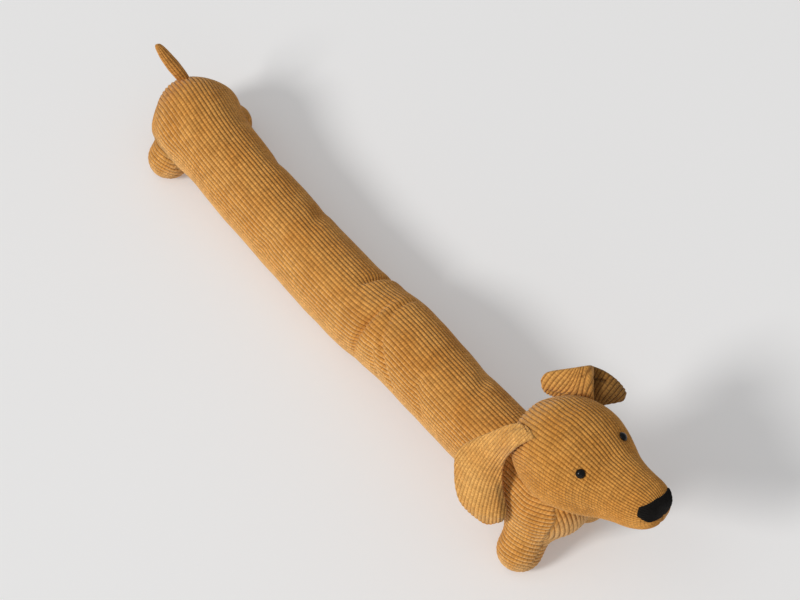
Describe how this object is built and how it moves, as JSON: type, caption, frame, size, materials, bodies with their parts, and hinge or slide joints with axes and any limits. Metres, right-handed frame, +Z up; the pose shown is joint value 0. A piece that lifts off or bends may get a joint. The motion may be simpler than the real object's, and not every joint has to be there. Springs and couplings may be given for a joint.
{
  "type": "draught excluder",
  "caption": "Long stuffed corduroy draught excluder shaped like a sausage dog, with a round raised head, floppy ears, short legs and a thin tail.",
  "frame": {"origin": "on the flat underside of the body, where it rests on the floor, a little over a third of the way from the tail end", "axes": "+X along the body towards the head, +Y to the dog's left, +Z up"},
  "size_m": [0.8871, 0.208, 0.2273],
  "materials": {
    "body_corduroy": "wide-wale corduroy",
    "head_corduroy": "wide-wale corduroy",
    "hanging_ear_corduroy": "wide-wale corduroy",
    "folded_ear_corduroy": "wide-wale corduroy",
    "tail_corduroy": "wide-wale corduroy",
    "nose_cloth": "matt felted cloth",
    "right_eye_plastic": "gloss",
    "left_eye_plastic": "gloss"
  },
  "bodies": {
    "root": {"body": "body_corduroy", "head": "head_corduroy", "ear_right": "hanging_ear_corduroy", "ear_left": "folded_ear_corduroy", "tail": "tail_corduroy", "nose": "nose_cloth", "eye_right": "right_eye_plastic", "eye_left": "left_eye_plastic"}
  },
  "joints": []
}
